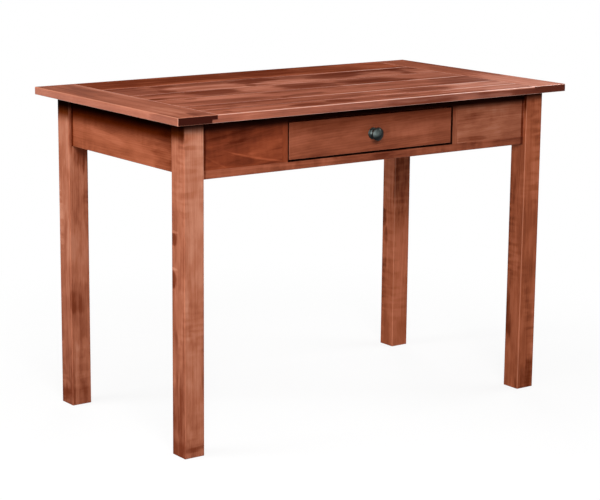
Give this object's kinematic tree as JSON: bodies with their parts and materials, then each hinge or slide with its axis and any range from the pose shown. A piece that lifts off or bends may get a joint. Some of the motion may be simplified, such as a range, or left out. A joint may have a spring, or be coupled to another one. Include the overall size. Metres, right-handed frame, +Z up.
{
  "type": "writing desk",
  "caption": "Writing desk with a plank top between breadboard ends, straight square legs and a central drawer with a round knob.",
  "frame": {"origin": "on the floor, under the middle of the desk", "axes": "+X to the right as someone sits at the desk, +Y to the back, +Z up; the drawer faces -Y"},
  "size_m": [1.11, 0.624, 0.762],
  "materials": {
    "top_wood": "satin",
    "frame_wood": "satin",
    "inner_wood": "matte",
    "drawer_front_wood": "satin",
    "drawer_box_wood": "satin",
    "knob_metal": "satin",
    "screw_steel": "satin"
  },
  "bodies": {
    "desk": {"breadboard_left": "top_wood", "breadboard_right": "top_wood", "top_board_1": "top_wood", "top_board_2": "top_wood", "top_board_3": "top_wood", "top_board_4": "top_wood", "top_board_5": "top_wood", "top_board_6": "top_wood", "leg_front_left": "frame_wood", "leg_front_right": "frame_wood", "leg_back_left": "frame_wood", "leg_back_right": "frame_wood", "end_apron_left": "frame_wood", "end_apron_right": "frame_wood", "back_apron": "frame_wood", "front_top_rail": "frame_wood", "front_bottom_rail": "frame_wood", "front_panel_left": "frame_wood", "front_panel_right": "frame_wood", "divider_left": "frame_wood", "divider_right": "frame_wood", "corner_block_front_left": "inner_wood", "corner_block_front_right": "inner_wood", "corner_block_back_left": "inner_wood", "corner_block_back_right": "inner_wood", "top_buttons": "inner_wood", "runner_left": "inner_wood", "runner_right": "inner_wood", "guide_left": "inner_wood", "guide_right": "inner_wood", "kicker_left": "inner_wood", "kicker_right": "inner_wood", "drawer_stop_left": "inner_wood", "drawer_stop_right": "inner_wood", "corner_block_screws": "screw_steel", "top_button_screws": "screw_steel", "top_rail_screws": "screw_steel", "guide_screws": "screw_steel"},
    "drawer": {"drawer_front": "drawer_front_wood", "drawer_side_left": "drawer_box_wood", "drawer_side_right": "drawer_box_wood", "drawer_back": "drawer_box_wood", "drawer_bottom": "drawer_box_wood", "drawer_bottom_screws": "screw_steel", "knob": "knob_metal", "knob_screw": "screw_steel"}
  },
  "joints": [
    {"name": "drawer_slide", "type": "slide", "parent": "desk", "child": "drawer", "axis": [0, -1, 0], "range_m": [0, 0.33]}
  ]
}
